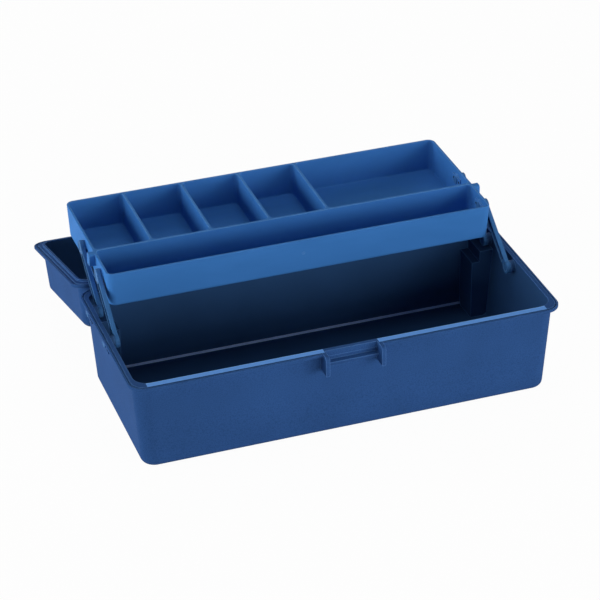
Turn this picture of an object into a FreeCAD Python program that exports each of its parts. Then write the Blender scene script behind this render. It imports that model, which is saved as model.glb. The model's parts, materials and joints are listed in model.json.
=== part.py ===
import FreeCAD, Part
import math
import os
import re

import Sketcher

# A tackle box with one swing-up tray, modelled open: the lid lies on its back behind the base
# and the tray stands up over the rear half of the box.
# X runs along the box, Y to its back and Z up. The origin is the middle of the base's underside.
# A lean is how far a wall comes in over its height. An overhang is how far a rim stands out past
# the wall's outer face. A setback runs along Y.

# Driving sizes, in millimetres and degrees.
SIZES = {
    # Rim shared by the base and the lid
    "rim_length": 400.0,
    "rim_width": 179.0,
    "rim_corner": 15.0,
    "rim_gap": 0.3,
    "ground_gap": 0.02,
    "flange_edge_round": 0.6,
    # Base shell
    "base_height": 87.0,
    "base_end_overhang": 4.2,
    "base_side_overhang": 6.3,
    "wall_corner": 13.0,
    "opening_corner": 13.0,
    "opening_rear_corner": 8.0,
    "base_flange": 3.0,
    "base_wall": 2.5,
    "base_floor": 2.5,
    "base_end_lean": 6.1,
    "base_side_lean": 1.2,
    "base_edge_round": 6.0,
    "base_inside_round": 4.0,
    "base_lip": 1.4,
    "base_ledge": 1.6,
    "base_ledge_drop": 1.0,
    # Stepped posts in the rear corners of the base
    "post_length": 21.8,
    "post_depth": 28.7,
    "post_step": 7.7,
    "post_step_height": 11.0,
    "post_skin": 2.2,
    "post_clearance": 0.5,
    # Catch station at the front of the base and lid
    "catch_opening": 48.2,
    "ear_thickness": 3.6,
    "ear_reach": 13.8,
    "ear_height": 18.5,
    "ear_round": 3.5,
    "gap_inset": 1.1,
    "lid_ear_height": 17.0,
    "band_height": 6.0,
    "band_depth": 1.2,
    "ridge_drop": 10.6,
    "ridge_reach": 4.8,
    "ridge_slope": 7.2,
    "ridge_edge": 0.8,
    # Lid shell
    "lid_depth": 45.7,
    "lid_end_overhang": 7.0,
    "lid_side_overhang": 8.5,
    "lid_corner": 13.0,
    "lid_flange": 3.0,
    "lid_wall": 2.4,
    "lid_lean": 1.8,
    "lid_edge_round": 6.5,
    "lid_inside_round": 4.0,
    "lip_drop": 1.8,
    "lip_clearance": 0.3,
    "lid_groove": 2.6,
    "lid_groove_drop": 0.8,
    "lid_groove_inset": 1.6,
    # Rear hinges
    "hinge_end_gap": 80.0,
    "hinge_setback": 4.9,
    "knuckle_radius": 4.5,
    "base_knuckle": 12.0,
    "lid_knuckle": 24.0,
    "knuckle_gap": 0.3,
    "hinge_pin_radius": 2.0,
    "hinge_head_radius": 3.2,
    "hinge_head": 1.2,
    # Clearances of pins
    "running_clearance": 0.05,
    "seat_clearance": 0.02,
    "side_clearance": 0.3,
    # Tray
    "tray_end_gap": 9.6,
    "tray_width": 146.0,
    "tray_height": 33.5,
    "tray_wall": 2.0,
    "tray_floor": 2.0,
    "tray_lean": 1.5,
    "tray_corner": 7.0,
    "tray_edge_round": 3.0,
    "tray_rim_round": 0.6,
    "divider": 2.0,
    "front_bay": 45.1,
    "first_divider": 55.3,
    "bay_pitch": 56.3,
    "bay_corner": 4.0,
    "bay_lean": 0.6,
    "bay_round": 1.4,
    "lug_reach": 5.5,
    "lug_width": 7.7,
    "lug_height": 11.5,
    "lug_setback": 40.9,
    "lug_round": 2.2,
    # Swing arms and their pivots
    "front_pivot": 6.5,
    "pivot_drop": 7.5,
    "pivot_spacing": 55.0,
    "tray_pivot_setback": 22.1,
    "tray_pivot_drop": 10.5,
    "arm_reach": 65.8,
    "arm_open": 34.8,
    "arm_gap": 1.0,
    "arm_thickness": 4.0,
    "arm_half_width": 4.3,
    "arm_end_radius": 6.0,
    "arm_rim": 1.3,
    "arm_channel": 1.4,
    "arm_edge_round": 0.5,
    "pivot_radius": 2.5,
    "pivot_foot_radius": 3.6,
    "pivot_foot": 1.1,
    "pivot_head_radius": 3.9,
    "pivot_head": 1.2,
    "pivot_head_round": 0.8,
    "foot_clearance": 0.4,
    "pivot_sink": 1.6,
    "boss_radius": 5.7,
    "boss_proud": 1.6,
    "mark_radius": 1.3,
    "mark_depth": 1.8,
    "base_mark_spacing": 15.0,
    "base_mark_drop": 3.0,
    "tray_mark_spacing": 12.4,
    # Latch on the lid
    "latch_swing": 105.0,
    "latch_pivot_reach": 10.8,
    "latch_pivot_height": 10.5,
    "latch_side_gap": 0.6,
    "latch_thickness": 2.4,
    "latch_barrel_radius": 3.2,
    "latch_pin_radius": 1.5,
    "latch_hook_gap": 2.6,
    "latch_hook": 2.2,
    "latch_hook_reach": 2.8,
    "latch_hook_root": 3.3,
    "latch_tab": 8.0,
    "latch_tab_flare": 4.0,
    "latch_clearance": 1.2,
    # Handle in the lid's top
    "handle_length": 122.0,
    "handle_reach": 28.0,
    "handle_grip": 10.0,
    "handle_thickness": 8.0,
    "handle_arm": 8.0,
    "handle_round": 2.5,
    "handle_corner": 8.0,
    "handle_edge": 2.2,
    "handle_setback": 12.0,
    "handle_depth": 6.0,
    "trunnion_radius": 2.6,
    "trunnion": 3.2,
    "recess_end_gap": 1.0,
    "recess_front_gap": 6.0,
    "recess_rear_gap": 7.0,
    "recess_depth": 13.0,
    "recess_corner": 4.0,
}

# How far cutting tools reach past what they cut.
OUTSIDE = 20.0
# How near an edge is to a level that it lies at.
NEAR = 0.02

# Sizes that follow from the driving ones.
DERIVED = {
    "wall_length": "rim_length - 2 * base_end_overhang",
    "wall_width": "rim_width - 2 * base_side_overhang",
    "bottom_length": "wall_length - 2 * base_end_lean",
    "bottom_width": "wall_width - 2 * base_side_lean",
    "opening_length": "wall_length - 2 * base_wall",
    "opening_width": "wall_width - 2 * base_wall",
    "floor_length": "opening_length - 2 * base_end_lean * (1 - base_floor / base_height)",
    "floor_width": "opening_width - 2 * base_side_lean * (1 - base_floor / base_height)",
    "ledge_outer_length": "rim_length - 2 * base_lip",
    "ledge_outer_width": "rim_width - 2 * base_lip",
    "ledge_outer_corner": "rim_corner - base_lip",
    "ledge_inner_length": "ledge_outer_length - 2 * base_ledge",
    "ledge_inner_width": "ledge_outer_width - 2 * base_ledge",
    "ledge_inner_corner": "ledge_outer_corner - base_ledge",
    "pivot_height": "base_height - pivot_drop",
    "post_height": "pivot_height - arm_end_radius - post_clearance - post_step_height",
    "post_inner_end": "opening_length / 2 - post_length",
    "post_front": "opening_width / 2 - post_depth",
    "gap_length": "catch_opening + 2 * gap_inset",
    "ridge_top": "base_height - ridge_drop",
    "hinge_station": "rim_length / 2 - hinge_end_gap",
    "hinge_line": "rim_width / 2 + hinge_setback",
    "rim_plane": "base_height + rim_gap",
    "hinge_half": "base_knuckle + knuckle_gap + lid_knuckle / 2",
    "lid_length": "rim_length - 2 * lid_end_overhang",
    "lid_width": "rim_width - 2 * lid_side_overhang",
    "lid_top_length": "lid_length - 2 * lid_lean",
    "lid_top_width": "lid_width - 2 * lid_lean",
    "lid_inner_length": "lid_length - 2 * lid_wall",
    "lid_inner_width": "lid_width - 2 * lid_wall",
    "lid_inner_corner": "lid_corner - lid_wall",
    "lid_ceiling": "lid_depth - lid_wall",
    "ceiling_length": "lid_inner_length - 2 * lid_lean * lid_ceiling / lid_depth",
    "ceiling_width": "lid_inner_width - 2 * lid_lean * lid_ceiling / lid_depth",
    "lid_mouth_length": f"lid_inner_length + 2 * lid_lean * (lip_drop + {OUTSIDE}) / lid_depth",
    "lid_mouth_width": f"lid_inner_width + 2 * lid_lean * (lip_drop + {OUTSIDE}) / lid_depth",
    "lip_outer_length": "opening_length - 2 * lip_clearance",
    "lip_outer_width": "opening_width - 2 * lip_clearance",
    "lip_outer_corner": "opening_corner - lip_clearance",
    "groove_outer_length": "rim_length - 2 * lid_groove_inset",
    "groove_outer_width": "rim_width - 2 * lid_groove_inset",
    "groove_outer_corner": "rim_corner - lid_groove_inset",
    "groove_inner_length": "groove_outer_length - 2 * lid_groove",
    "groove_inner_width": "groove_outer_width - 2 * lid_groove",
    "groove_inner_corner": "groove_outer_corner - lid_groove",
    "tray_length": "opening_length - 2 * tray_end_gap",
    "arm_inner": "tray_length / 2 + arm_gap",
    "arm_outer": "arm_inner + arm_thickness",
    "base_pin_foot": "arm_inner + pivot_sink - side_clearance / 2",
    "tray_pin_foot": "arm_outer - pivot_sink + side_clearance / 2",
    "boss_face": "arm_outer + side_clearance",
    "outer_boss_face": "wall_length / 2 + boss_proud",
    "rear_pivot": "front_pivot + pivot_spacing",
    "tray_centre": "tray_width / 2 - tray_pivot_setback",
    "tray_bottom": "tray_pivot_drop - tray_height",
    "tray_bottom_length": "tray_length - 2 * tray_lean",
    "tray_bottom_width": "tray_width - 2 * tray_lean",
    "tray_boss_outer": "arm_inner - side_clearance",
    "tray_boss_inner": "tray_length / 2 - tray_wall - tray_lean",
    "latch_length": "catch_opening - 2 * latch_side_gap",
    "latch_pivot_line": "lid_width / 2 + latch_pivot_reach",
    "recess_length": "handle_length + 2 * recess_end_gap",
    "recess_front": "handle_setback - handle_reach - handle_grip / 2 - recess_front_gap",
    "recess_rear": "handle_setback + recess_rear_gap",
    "recess_width": "recess_rear - recess_front",
    "recess_line": "(recess_rear + recess_front) / 2",
    "recess_floor": "lid_depth - recess_depth",
    "handle_level": "lid_depth - handle_depth",
}

ACROSS = FreeCAD.Rotation(FreeCAD.Vector(0, 1, 0), 90)
UPWARDS = FreeCAD.Rotation(FreeCAD.Vector(1, 0, 0), 90)
SMALL_BAYS = 4
SIDES = (("left", -1), ("right", 1))
PIVOTS = (("front", "front_pivot"), ("rear", "rear_pivot"))
TRAY_PIVOTS = (("front", "0"), ("rear", "pivot_spacing"))
HINGE_LINE = ("hinge_line", "rim_plane")

doc = FreeCAD.newDocument("tackle_box")
sheet = doc.addObject("Spreadsheet::Sheet", "Sizes")
parts = []


def fill_sheet():
    """Write every size into the sheet under its own name."""
    for row, (name, amount) in enumerate(SIZES.items(), start=1):
        sheet.set(f"A{row}", str(amount))
        sheet.setAlias(f"A{row}", name)
    for row, (name, rule) in enumerate(DERIVED.items(), start=1):
        sheet.set(f"B{row}", "=" + rule)
        sheet.setAlias(f"B{row}", name)
    doc.recompute()


def formula(text):
    """Turn size names in a formula into references to the sheet."""
    def refer(word):
        known = word[0] in SIZES or word[0] in DERIVED
        return "Sizes." + word[0] if known else word[0]
    return re.sub(r"[a-z][a-z_]*", refer, text)


def number(text):
    """Give a formula's value as a plain number."""
    return float(sheet.evalExpression(formula(text)))


def new_body(name):
    """Start a body of features."""
    return doc.addObject("PartDesign::Body", name)


def sketch_on(body, label, role, height="0"):
    """Open a sketch on one of the body's own planes, moved along that plane's normal."""
    sketch = body.newObject("Sketcher::SketchObject", label)
    plane = next(item for item in body.Origin.OriginFeatures if item.Role == role)
    sketch.AttachmentSupport = [(plane, "")]
    sketch.MapMode = "FlatFace"
    sketch.setExpression("AttachmentOffset.Base.z", formula(height))
    return sketch


def drive(sketch, constraint, size):
    """Add a dimension and bind it to the sheet."""
    index = sketch.addConstraint(constraint)
    sketch.setExpression(f"Constraints[{index}]", formula(size))


def rounded_rectangle(sketch, length, width, corner):
    """Draw a rectangle with round corners about the sketch's origin."""
    half_x = number(length) / 2
    half_y = number(width) / 2
    radius = number(corner)
    first = sketch.GeometryCount
    for turn, (side_x, side_y) in enumerate(((1, 1), (-1, 1), (-1, -1), (1, -1))):
        centre = FreeCAD.Vector(side_x * (half_x - radius), side_y * (half_y - radius), 0)
        circle = Part.Circle(centre, FreeCAD.Vector(0, 0, 1), radius)
        start = turn * math.pi / 2
        sketch.addGeometry(Part.ArcOfCircle(circle, start, start + math.pi / 2))
    for turn in range(4):
        start = sketch.Geometry[first + turn].EndPoint
        end = sketch.Geometry[first + (turn + 1) % 4].StartPoint
        sketch.addGeometry(Part.LineSegment(start, end))
    for turn in range(4):
        line = first + 4 + turn
        sketch.addConstraint(Sketcher.Constraint("Tangent", first + turn, 2, line, 1))
        sketch.addConstraint(Sketcher.Constraint("Tangent", line, 2, first + (turn + 1) % 4, 1))
        level = "Horizontal" if turn % 2 == 0 else "Vertical"
        sketch.addConstraint(Sketcher.Constraint(level, line))
    for turn in range(1, 4):
        sketch.addConstraint(Sketcher.Constraint("Equal", first, first + turn))
    sketch.addConstraint(Sketcher.Constraint("Symmetric", first, 3, first + 2, 3, -1, 1))
    drive(sketch, Sketcher.Constraint("Radius", first, radius), corner)
    left, right, low, high = first + 5, first + 7, first + 6, first + 4
    drive(sketch, Sketcher.Constraint("DistanceX", left, 1, right, 1, 2 * half_x), length)
    drive(sketch, Sketcher.Constraint("DistanceY", low, 1, high, 1, 2 * half_y), width)


def polygon(sketch, corners):
    """Draw a closed outline through corners whose two coordinates are formulas."""
    places = [FreeCAD.Vector(number(across), number(up), 0) for across, up in corners]
    for index, place in enumerate(places):
        following = places[(index + 1) % len(places)]
        sketch.addGeometry(Part.LineSegment(place, following))
    for index in range(len(places)):
        following = (index + 1) % len(places)
        sketch.addConstraint(Sketcher.Constraint("Coincident", index, 2, following, 1))
    for index, (across, up) in enumerate(corners):
        place = places[index]
        drive(sketch, Sketcher.Constraint("DistanceX", -1, 1, index, 1, place.x), across)
        drive(sketch, Sketcher.Constraint("DistanceY", -1, 1, index, 1, place.y), up)


def outline(body, label, height, length, width, corner, across="0", along="0"):
    """Sketch a level rounded rectangle at a height, centred at a place across and along."""
    sketch = sketch_on(body, label, "XY_Plane", height)
    sketch.setExpression("AttachmentOffset.Base.x", formula(along))
    sketch.setExpression("AttachmentOffset.Base.y", formula(across))
    rounded_rectangle(sketch, length, width, corner)
    return sketch


def frustum(body, kind, label, levels, low, high, across="0"):
    """Add or cut a box with leaning walls between two levels, from its low and high outlines."""
    feature = body.newObject(f"PartDesign::{kind}Wedge", label)
    feature.Placement = FreeCAD.Placement(FreeCAD.Vector(0, 0, 0), UPWARDS)
    feature.setExpression("Placement.Base.y", formula(across))
    feature.setExpression("Placement.Base.z", formula(levels[0]))
    feature.Ymin = 0
    feature.setExpression("Ymax", formula(f"({levels[1]}) - ({levels[0]})"))
    for prefix, (left, right, width) in (("", low), ("2", high)):
        feature.setExpression(f"X{prefix}min", formula(left))
        feature.setExpression(f"X{prefix}max", formula(right))
        feature.setExpression(f"Z{prefix}min", formula(f"-({width}) / 2"))
        feature.setExpression(f"Z{prefix}max", formula(f"({width}) / 2"))
    return feature


def centred(length, width):
    """Give the two ends and the width of an outline that is centred on the box."""
    return (f"-({length}) / 2", f"({length}) / 2", width)


def extrude(body, kind, label, sketch, length, reversed_way=False, both_ways=False):
    """Pad or pocket a sketch by a length."""
    feature = body.newObject("PartDesign::" + kind, label)
    feature.Profile = sketch
    feature.setExpression("Length", formula(length))
    feature.Reversed = reversed_way
    if both_ways:
        feature.SideType = "Symmetric"
    return feature


def place_box(feature, low, high):
    """Bind a box to two corners, each given by three formulas."""
    for axis, side, start, end in zip("xyz", ("Length", "Width", "Height"), low, high):
        feature.setExpression(f"Placement.Base.{axis}", formula(start))
        feature.setExpression(side, formula(f"({end}) - ({start})"))
    return feature


def place_rod(feature, ends, line, radius):
    """Bind a round bar along X to its two ends, the line that it lies on and its radius."""
    feature.Placement = FreeCAD.Placement(FreeCAD.Vector(0, 0, 0), ACROSS)
    for axis, value in zip("xyz", (ends[0], *line)):
        feature.setExpression(f"Placement.Base.{axis}", formula(value))
    feature.setExpression("Height", formula(f"({ends[1]}) - ({ends[0]})"))
    feature.setExpression("Radius", formula(radius))
    return feature


def block(label, low, high):
    """Make a separate box."""
    return place_box(doc.addObject("Part::Box", label), low, high)


def rod(label, ends, line, radius):
    """Make a separate round bar along X."""
    return place_rod(doc.addObject("Part::Cylinder", label), ends, line, radius)


def fuse(label, pieces):
    """Join pieces into one solid."""
    joined = doc.addObject("Part::MultiFuse", label)
    joined.Shapes = pieces
    return joined


def cut(label, solid, tools):
    """Cut a group of tools out of a solid."""
    group = doc.addObject("Part::Compound", label + "_tools")
    group.Links = tools
    result = doc.addObject("Part::Cut", label)
    result.Base = solid
    result.Tool = group
    return result


def prism(label, corners, length):
    """Make a bar along X, centred on the box, from an outline across and up."""
    body = doc.addObject("PartDesign::Body", label)
    sketch = sketch_on(body, label + "_outline", "YZ_Plane")
    polygon(sketch, corners)
    extrude(body, "Pad", label + "_pad", sketch, length, both_ways=True)
    return body


def name_part(item, name):
    """Make an object a sub-part: its name is the name of its file."""
    item.Label = name
    parts.append(item)
    return item


def span(side, near, far):
    """Order two distances from the middle plane for one side of the box, low end first."""
    return (near, far) if side > 0 else (f"-({far})", f"-({near})")


def round_edges(body, label, radius, wanted):
    """Fillet the edges of the body's latest shape that a test picks."""
    doc.recompute()
    base = body.Tip
    names = [f"Edge{place}" for place, edge in enumerate(base.Shape.Edges, start=1) if wanted(edge)]
    if not names:
        raise ValueError(f"{body.Label}: no edges for {label}")
    fillet = body.newObject("PartDesign::Fillet", label)
    fillet.Base = (base, names)
    fillet.setExpression("Radius", formula(radius))
    return fillet


def lies_at(edge, axis, level):
    """Tell whether an edge lies wholly at one level of an axis."""
    box = edge.BoundBox
    low, high = {"x": (box.XMin, box.XMax), "y": (box.YMin, box.YMax), "z": (box.ZMin, box.ZMax)}[axis]
    return abs(low - level) < NEAR and abs(high - level) < NEAR


def upright(edge):
    """Tell whether an edge climbs steeply, as the corners of a leaning box do."""
    box = edge.BoundBox
    return box.ZLength > box.XLength and box.ZLength > box.YLength


def build_base():
    """Build the deep tub with its stepped rim, catch station, corner posts and pivot bosses."""
    body = new_body("base_tub")
    frustum(body, "Additive", "tub", ("0", "base_height"),
            centred("bottom_length", "bottom_width"), centred("wall_length", "wall_width"))
    round_edges(body, "corner_round", "wall_corner", upright)
    round_edges(body, "bottom_round", "base_edge_round", lambda edge: lies_at(edge, "z", 0))
    flange = outline(body, "flange_outline", "base_height", "rim_length", "rim_width", "rim_corner")
    extrude(body, "Pad", "flange", flange, "base_flange", reversed_way=True)
    round_edges(body, "flange_round", "flange_edge_round",
                flange_edge("base_height - base_flange", "base_height"))
    ledge = outline(body, "ledge_outline", "base_height",
                    "ledge_outer_length", "ledge_outer_width", "ledge_outer_corner")
    rounded_rectangle(ledge, "ledge_inner_length", "ledge_inner_width", "ledge_inner_corner")
    extrude(body, "Pocket", "ledge", ledge, "base_ledge_drop")

    core = new_body("base_core")
    frustum(core, "Additive", "hollow", ("base_floor", "base_height"),
            centred("floor_length", "floor_width"), centred("opening_length", "opening_width"))
    round_edges(core, "core_corner_round", "opening_corner",
                lambda edge: upright(edge) and edge.BoundBox.YMax < 0)
    round_edges(core, "core_rear_corner_round", "opening_rear_corner",
                lambda edge: upright(edge) and edge.BoundBox.YMin > 0)
    floor = number("base_floor")
    round_edges(core, "floor_round", "base_inside_round", lambda edge: lies_at(edge, "z", floor))
    posts = []
    post_hollows = []
    for name, side in SIDES:
        for step, inset, top in (("low", "0", "post_height"),
                                 ("high", "post_step", "post_height + post_step_height")):
            ends = span(side, f"post_inner_end + {inset}", f"wall_length / 2 + {OUTSIDE}")
            posts.append(block(f"post_{step}_{name}", (ends[0], "post_front", "0"),
                               (ends[1], f"wall_width / 2 + {OUTSIDE}", top)))
        ends = span(side, "post_inner_end + post_skin", "floor_length / 2 - post_skin")
        post_hollows.append(block(f"post_hollow_{name}", (ends[0], "post_front + post_skin", f"-{OUTSIDE}"),
                                  (ends[1], "floor_width / 2 - post_skin", "post_height - post_skin")))
    hollow = cut("posted_core", core, posts)

    gap = block("base_flange_gap",
                ("-gap_length / 2", f"-rim_width / 2 - {OUTSIDE}", f"base_height - base_flange - {OUTSIDE}"),
                ("gap_length / 2", "-wall_width / 2", f"base_height + {OUTSIDE}"))
    tub = cut("base_hollowed", body, [hollow, gap, *post_hollows])

    added = [tub]
    added.append(block("front_band",
                       ("-gap_length / 2", "-wall_width / 2 - band_depth", "base_height - band_height"),
                       ("gap_length / 2", "-wall_width / 2 + base_wall / 2", "base_height")))
    for name, side in SIDES:
        added += ear(f"base_ear_{name}", side, "opening_width / 2 + base_wall / 3",
                     "base_height - ear_height", "base_height")
    added.append(prism("catch_ridge", (
        ("-opening_width / 2 - base_wall / 3", "ridge_top - ridge_edge - ridge_slope"),
        ("-wall_width / 2 - ridge_reach", "ridge_top - ridge_edge"),
        ("-wall_width / 2 - ridge_reach", "ridge_top"),
        ("-opening_width / 2 - base_wall / 3", "ridge_top + ridge_edge")), "catch_opening + ear_thickness"))
    removed = []
    for name, side in SIDES:
        for place, line in PIVOTS:
            label = f"{place}_{name}"
            ends = span(side, "boss_face", "wall_length / 2 - base_wall / 2")
            added.append(rod("inner_boss_" + label, ends, (line, "pivot_height"), "boss_radius"))
            ends = span(side, "opening_length / 2", "outer_boss_face")
            added.append(block("outer_boss_" + label,
                               (ends[0], f"{line} - base_mark_spacing / 2 - 2 * mark_radius",
                                "pivot_height - base_mark_drop - 2 * mark_radius"),
                               (ends[1], f"{line} + base_mark_spacing / 2 + 2 * mark_radius",
                                "base_height - base_flange / 2")))
            ends = span(side, f"arm_outer - {OUTSIDE}", f"wall_length / 2 + {OUTSIDE}")
            removed.append(rod("base_pivot_bore_" + label, ends, (line, "pivot_height"),
                               "pivot_radius + seat_clearance"))
            ends = span(side, "outer_boss_face - mark_depth", f"wall_length / 2 + {OUTSIDE}")
            for end, sign in (("a", "-"), ("b", "+")):
                place_of_mark = (f"{line} {sign} base_mark_spacing / 2", "pivot_height - base_mark_drop")
                removed.append(rod(f"base_mark_{end}_{label}", ends, place_of_mark, "mark_radius"))
    for name, side in SIDES:
        for end, sign in (("a", "-"), ("b", "+")):
            middle = f"{side} * hinge_station {sign} (hinge_half - base_knuckle / 2)"
            ends = (f"{middle} - base_knuckle / 2", f"{middle} + base_knuckle / 2")
            added.append(rod(f"base_knuckle_{end}_{name}", ends, HINGE_LINE, "knuckle_radius"))
            added.append(block(f"base_leaf_{end}_{name}",
                               (ends[0], "wall_width / 2", "rim_plane - knuckle_radius"),
                               (ends[1], "hinge_line", "base_height - base_ledge_drop")))
        removed.append(rod(f"base_hinge_bore_{name}", hinge_ends(side, OUTSIDE), HINGE_LINE,
                           "hinge_pin_radius + seat_clearance"))
    name_part(cut("base_shell", fuse("base_joined", added), removed), "base_shell")


def flange_edge(low, high):
    """Give a test for the outer edges of a flange at its low and high faces."""
    half_length = number("rim_length / 2")
    half_width = number("rim_width / 2")
    corner = number("rim_corner")
    levels = (number(low), number(high))

    def test(edge):
        box = edge.BoundBox
        out_x = max(abs(box.XMin), abs(box.XMax)) > half_length - corner / 2
        out_y = max(abs(box.YMin), abs(box.YMax)) > half_width - corner / 2
        near_end = max(abs(box.XMin), abs(box.XMax)) > half_length - NEAR
        near_side = max(abs(box.YMin), abs(box.YMax)) > half_width - NEAR
        return (out_x or out_y) and (near_end or near_side) and any(lies_at(edge, "z", z) for z in levels)
    return test


def hinge_ends(side, beyond):
    """Give both ends of one hinge, moved out by a distance."""
    middle = f"{side} * hinge_station"
    return (f"{middle} - hinge_half - {beyond}", f"{middle} + hinge_half + {beyond}")


def ear(label, side, root, bottom, top):
    """Make one ear beside the latch, from its root in the wall out to a round upper front corner."""
    ends = span(side, "catch_opening / 2", "catch_opening / 2 + ear_thickness")
    front = "-wall_width / 2 - ear_reach"
    rear = f"-({root})"
    return [block(label + "_low", (ends[0], front, bottom), (ends[1], rear, f"{top} - ear_round")),
            block(label + "_high", (ends[0], f"{front} + ear_round", bottom), (ends[1], rear, top)),
            rod(label + "_nose", ends, (f"{front} + ear_round", f"{top} - ear_round"), "ear_round")]


def build_lid():
    """Build the shallow tub in its own frame: its rim plane is level zero and its top is up."""
    body = new_body("lid_tub")
    frustum(body, "Additive", "lid_block", ("0", "lid_depth"),
            centred("lid_length", "lid_width"), centred("lid_top_length", "lid_top_width"))
    round_edges(body, "lid_corner_round", "lid_corner", upright)
    top = number("lid_depth")
    round_edges(body, "lid_top_round", "lid_edge_round", lambda edge: lies_at(edge, "z", top))
    flange = outline(body, "lid_flange_outline", "0", "rim_length", "rim_width", "rim_corner")
    extrude(body, "Pad", "lid_flange_pad", flange, "lid_flange")
    round_edges(body, "lid_flange_round", "flange_edge_round", flange_edge("0", "lid_flange"))
    lip = outline(body, "lip_outline", "0", "lip_outer_length", "lip_outer_width", "lip_outer_corner")
    extrude(body, "Pad", "lip", lip, "lip_drop", reversed_way=True)
    groove = outline(body, "lid_groove_outline", "0",
                     "groove_outer_length", "groove_outer_width", "groove_outer_corner")
    rounded_rectangle(groove, "groove_inner_length", "groove_inner_width", "groove_inner_corner")
    extrude(body, "Pocket", "lid_groove_cut", groove, "lid_groove_drop", reversed_way=True)
    recess = outline(body, "recess_outline", "lid_depth", "recess_length", "recess_width", "recess_corner",
                     across="recess_line")
    extrude(body, "Pocket", "recess", recess, "recess_depth")

    core = new_body("lid_core")
    frustum(core, "Additive", "lid_hollow", (f"-lip_drop - {OUTSIDE}", "lid_ceiling"),
            centred("lid_mouth_length", "lid_mouth_width"), centred("ceiling_length", "ceiling_width"))
    round_edges(core, "lid_core_round", "lid_inner_corner", upright)
    ceiling = number("lid_ceiling")
    round_edges(core, "ceiling_round", "lid_inside_round", lambda edge: lies_at(edge, "z", ceiling))
    island = block("recess_island",
                   ("-recess_length / 2 - lid_wall", "recess_front - lid_wall", "recess_floor - lid_wall"),
                   ("recess_length / 2 + lid_wall", "recess_rear + lid_wall", f"lid_depth + {OUTSIDE}"))
    hollow = cut("lid_core_cut", core, [island])
    gap = block("lid_flange_gap",
                ("-gap_length / 2", f"-rim_width / 2 - {OUTSIDE}", f"-{OUTSIDE}"),
                ("gap_length / 2", "-lid_width / 2", "lid_flange"))
    added = [cut("lid_hollowed", body, [hollow, gap])]
    removed = []
    for name, side in SIDES:
        added += ear(f"lid_ear_{name}", side, "lid_inner_width / 2 + lid_wall / 2",
                     "rim_gap", "lid_ear_height")
        middle = f"{side} * hinge_station"
        ends = (f"{middle} - lid_knuckle / 2", f"{middle} + lid_knuckle / 2")
        added.append(rod(f"lid_knuckle_{name}", ends, ("hinge_line", "0"), "knuckle_radius"))
        added.append(block(f"lid_leaf_{name}", (ends[0], "lid_width / 2", "lid_groove_drop"),
                           (ends[1], "hinge_line", "knuckle_radius")))
        removed.append(rod(f"lid_hinge_bore_{name}", hinge_ends(side, OUTSIDE), ("hinge_line", "0"),
                           "hinge_pin_radius + running_clearance"))
        ends = span(side, "recess_length / 2 - lid_wall", "recess_length / 2 + 2 * lid_wall")
        removed.append(rod(f"trunnion_bore_{name}", ends, ("handle_setback", "handle_level"),
                           "trunnion_radius + running_clearance"))
    ends = (f"-gap_length / 2 - {OUTSIDE}", f"gap_length / 2 + {OUTSIDE}")
    removed.append(rod("latch_pin_bore", ends, ("-latch_pivot_line", "latch_pivot_height"),
                       "latch_pin_radius + seat_clearance"))
    lid = name_part(cut("lid_shell", fuse("lid_joined", added), removed), "lid_shell")
    lid.Placement = lid_pose()


def lid_open_angle():
    """Turn the lid back until the round far edge of its top touches the ground."""
    lean = math.atan2(number("lid_lean"), number("lid_depth"))
    corner_gap = number("lid_edge_round") * math.tan(math.pi / 4 - lean / 2)
    ahead = number("hinge_line + lid_top_width / 2") - corner_gap
    above = number("lid_depth - lid_edge_round")
    drop = number("rim_plane - lid_edge_round - ground_gap")
    tip = math.asin(drop / math.hypot(ahead, above)) - math.atan2(above, ahead)
    return 180 + math.degrees(tip)


def lid_pose():
    """Lift the lid onto the base and turn it open about the hinge line."""
    lift = FreeCAD.Placement(FreeCAD.Vector(0, 0, number("rim_plane")), FreeCAD.Rotation())
    hinge = FreeCAD.Vector(0, number("hinge_line"), number("rim_plane"))
    turn = FreeCAD.Rotation(FreeCAD.Vector(1, 0, 0), -lid_open_angle())
    return FreeCAD.Placement(FreeCAD.Vector(0, 0, 0), turn, hinge) * lift


def build_latch():
    """Build the latch hanging on the lid as if shut, then swing it up and open with the lid."""
    inner = "-wall_width / 2 - ridge_reach - latch_clearance"
    hook = "ridge_edge + ridge_drop + rim_gap + latch_hook_gap"
    tab = f"-({hook}) - latch_hook_root - latch_tab"
    profile = ((inner, "latch_pivot_height"), (inner, f"-({hook})"),
               (f"{inner} + latch_hook_reach", f"-({hook})"),
               (f"{inner} + latch_hook_reach", f"-({hook}) - latch_hook"),
               (inner, f"-({hook}) - latch_hook_root"),
               (f"{inner} - latch_tab_flare", tab),
               (f"{inner} - latch_tab_flare - latch_thickness", tab),
               (f"{inner} - latch_thickness", f"-({hook}) - latch_hook"),
               (f"{inner} - latch_thickness", "latch_pivot_height"))
    plate = prism("latch_plate", profile, "latch_length")
    ends = ("-latch_length / 2", "latch_length / 2")
    line = ("-latch_pivot_line", "latch_pivot_height")
    barrel = rod("latch_barrel", ends, line, "latch_barrel_radius")
    bore = rod("latch_bore", (f"-{OUTSIDE} - gap_length / 2", f"gap_length / 2 + {OUTSIDE}"), line,
               "latch_pin_radius + running_clearance")
    latch = name_part(cut("latch", fuse("latch_joined", [plate, barrel]), [bore]), "latch")
    pivot = FreeCAD.Vector(0, -number("latch_pivot_line"), number("latch_pivot_height"))
    turn = FreeCAD.Rotation(FreeCAD.Vector(1, 0, 0), -number("latch_swing"))
    latch.Placement = lid_pose() * FreeCAD.Placement(FreeCAD.Vector(0, 0, 0), turn, pivot)

    ends = ("-catch_opening / 2 - ear_thickness", "catch_opening / 2 + ear_thickness")
    pin = new_body("latch_pin")
    shaft = pin.newObject("PartDesign::AdditiveCylinder", "latch_pin_shaft")
    place_rod(shaft, ends, line, "latch_pin_radius")
    name_part(pin, "latch_pin").Placement = lid_pose()


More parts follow.
